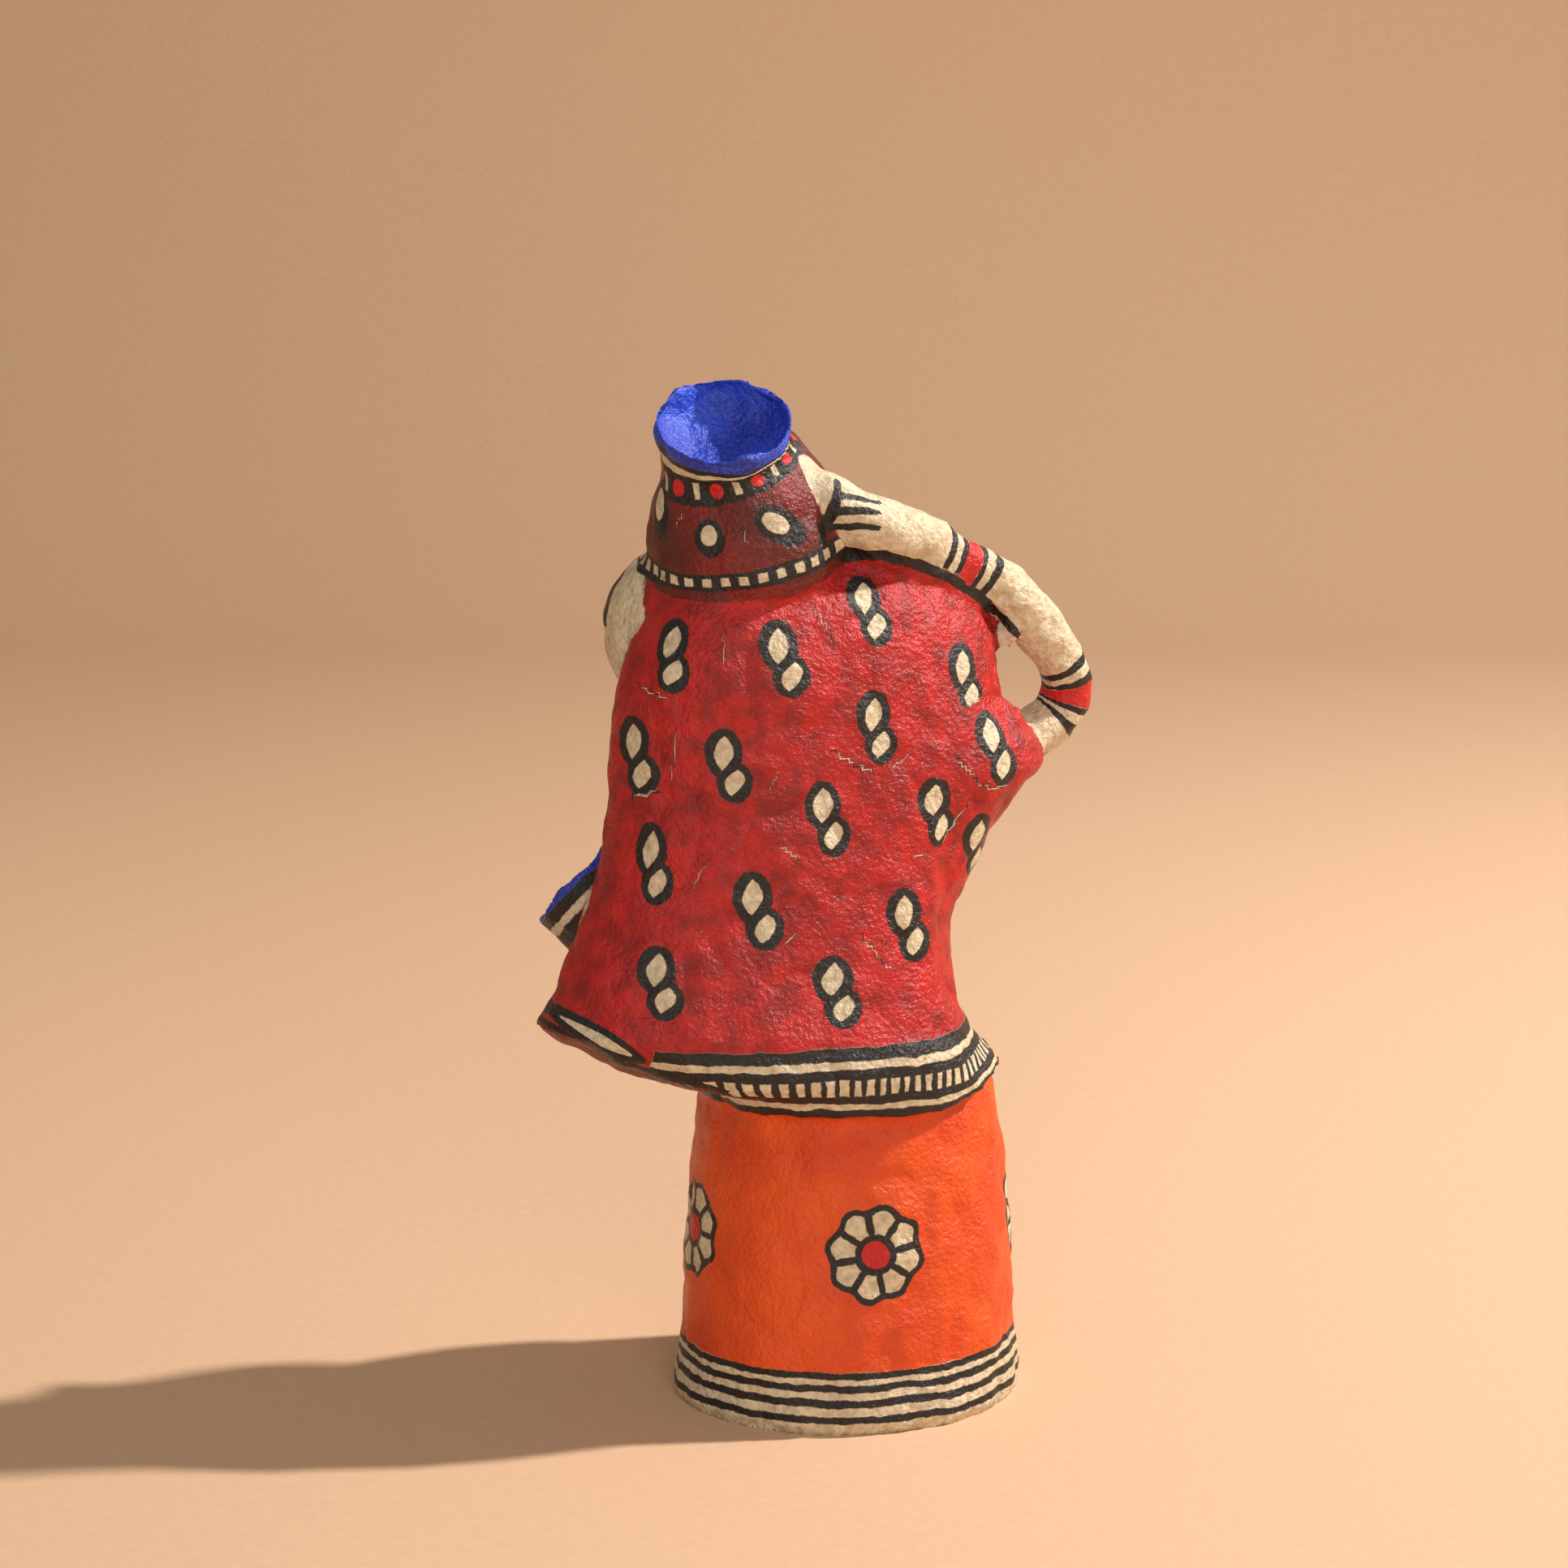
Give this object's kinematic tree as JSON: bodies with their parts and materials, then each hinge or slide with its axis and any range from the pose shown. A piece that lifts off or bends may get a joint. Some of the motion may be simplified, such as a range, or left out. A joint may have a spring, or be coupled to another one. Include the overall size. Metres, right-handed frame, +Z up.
{
  "type": "papier-mache figure",
  "caption": "Folk papier-mache figure of a woman in a veil, one arm raised to a water pot on her head and another pot held on her hip, standing on a drum-shaped skirt",
  "frame": {"origin": "the middle of the skirt's flat underside", "axes": "+Z is up. She faces -Y, and +X is her left side, with the hip pot. Her back is towards +Y."},
  "size_m": [0.1763, 0.0984, 0.3034],
  "materials": {
    "painted_paper": "brush-painted and varnished papier-mache"
  },
  "bodies": {
    "root": {"figure": "painted_paper"}
  },
  "joints": []
}
